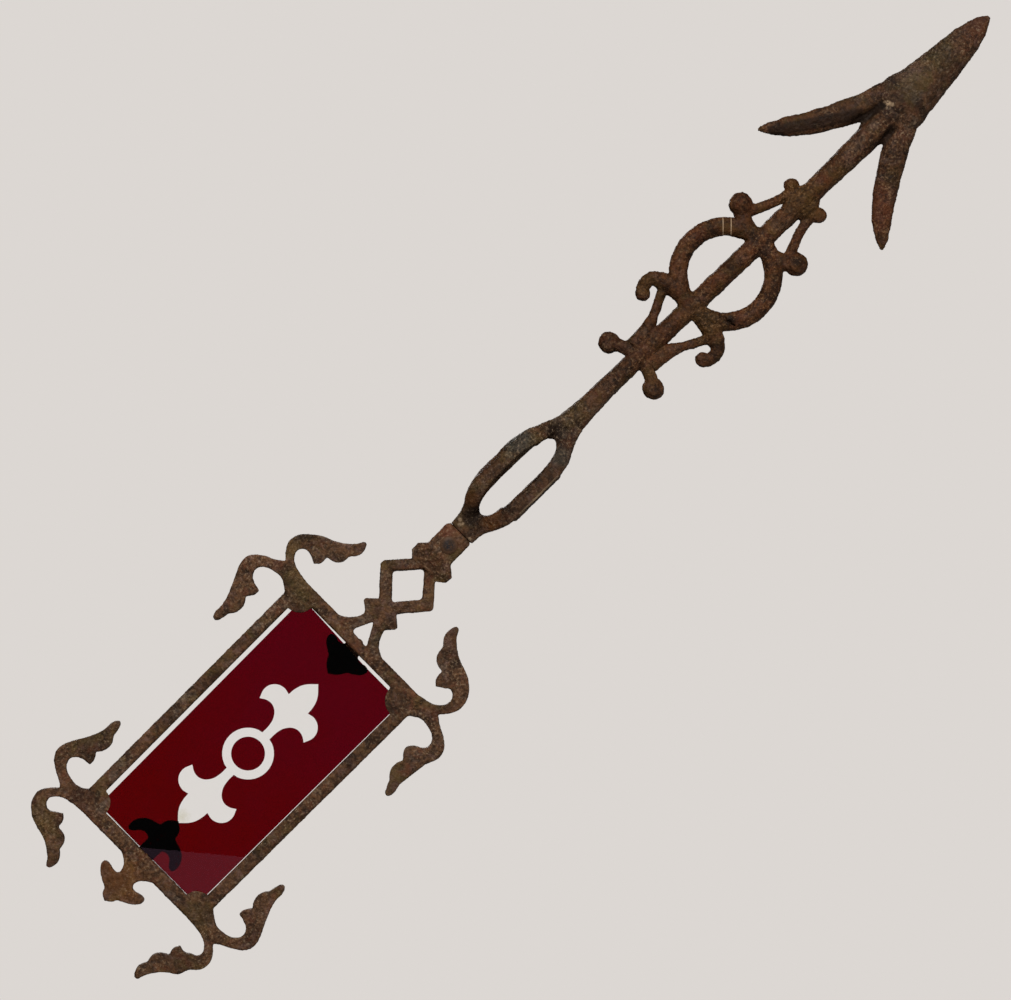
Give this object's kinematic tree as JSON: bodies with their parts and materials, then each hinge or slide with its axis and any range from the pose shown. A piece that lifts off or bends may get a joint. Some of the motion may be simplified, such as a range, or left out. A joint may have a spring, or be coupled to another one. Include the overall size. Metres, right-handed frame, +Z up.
{
  "type": "weathervane arrow",
  "caption": "Cast-iron directional arrow for a lightning rod, with a bored eye, a ring and scroll ornament and a framed ruby glass tail that sits loose in its frame.",
  "frame": {"origin": "on the lightning rod's axis, in the middle of the eye", "axes": "+X towards the arrow's tip, +Z up the rod, +Y from the front face to the back"},
  "size_m": [0.6133, 0.0314, 0.1351],
  "materials": {
    "cast_iron": "rusted and pitted",
    "rivet_steel": "weathered blue-grey",
    "clear_glass": "clear, slightly dulled",
    "ruby_glass": "deep ruby, smooth"
  },
  "bodies": {
    "arrow": {"arrow_casting": "cast_iron", "tail_frame": "cast_iron", "keeper_tail": "cast_iron", "keeper_neck": "cast_iron", "neck_rivet": "rivet_steel", "keeper_screw_tail": "rivet_steel", "keeper_screw_neck": "rivet_steel"},
    "pane": {"pane_glass": "clear_glass", "pane_ruby_layer": "ruby_glass", "pane_ruby_disc": "ruby_glass"}
  },
  "joints": [
    {"name": "pane_lift", "type": "slide", "parent": "arrow", "child": "pane", "axis": [0, 0, 1], "range_m": [0, 0.0017]}
  ]
}
